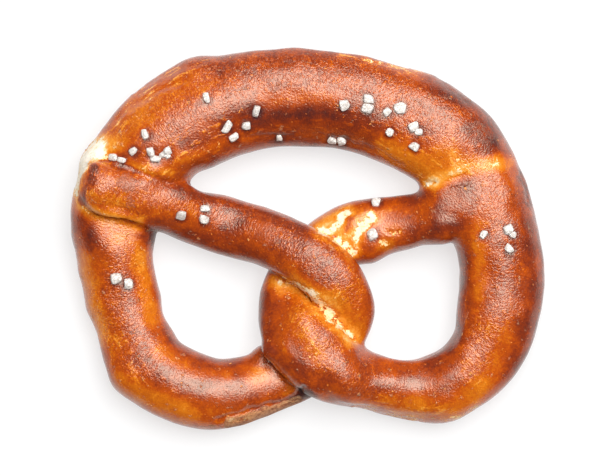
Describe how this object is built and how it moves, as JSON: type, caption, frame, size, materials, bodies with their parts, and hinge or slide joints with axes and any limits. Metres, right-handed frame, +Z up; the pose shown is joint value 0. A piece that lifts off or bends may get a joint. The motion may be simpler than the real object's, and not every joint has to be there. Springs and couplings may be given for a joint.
{
  "type": "soft pretzel",
  "caption": "A baked soft pretzel with a glossy brown crust, a thick belly, a once-twisted middle and its ends pressed on its shoulders, scattered with coarse salt.",
  "frame": {"origin": "Middle of the flat base that it was baked on", "axes": "+Z up from the base, +Y from the twist towards the thick belly, +X towards the loop whose arm passes under the other arm at the upper cross"},
  "size_m": [0.1498, 0.1208, 0.0299],
  "materials": {
    "crust": "glossy lye-baked crust: chestnut to red-brown with golden and amber stretches, a few pale tears and a fine leathery wrinkle",
    "salt": "opaque white coarse salt grains, slightly rough, with soft edges"
  },
  "bodies": {
    "root": {"pretzel": "crust"}
  },
  "joints": []
}
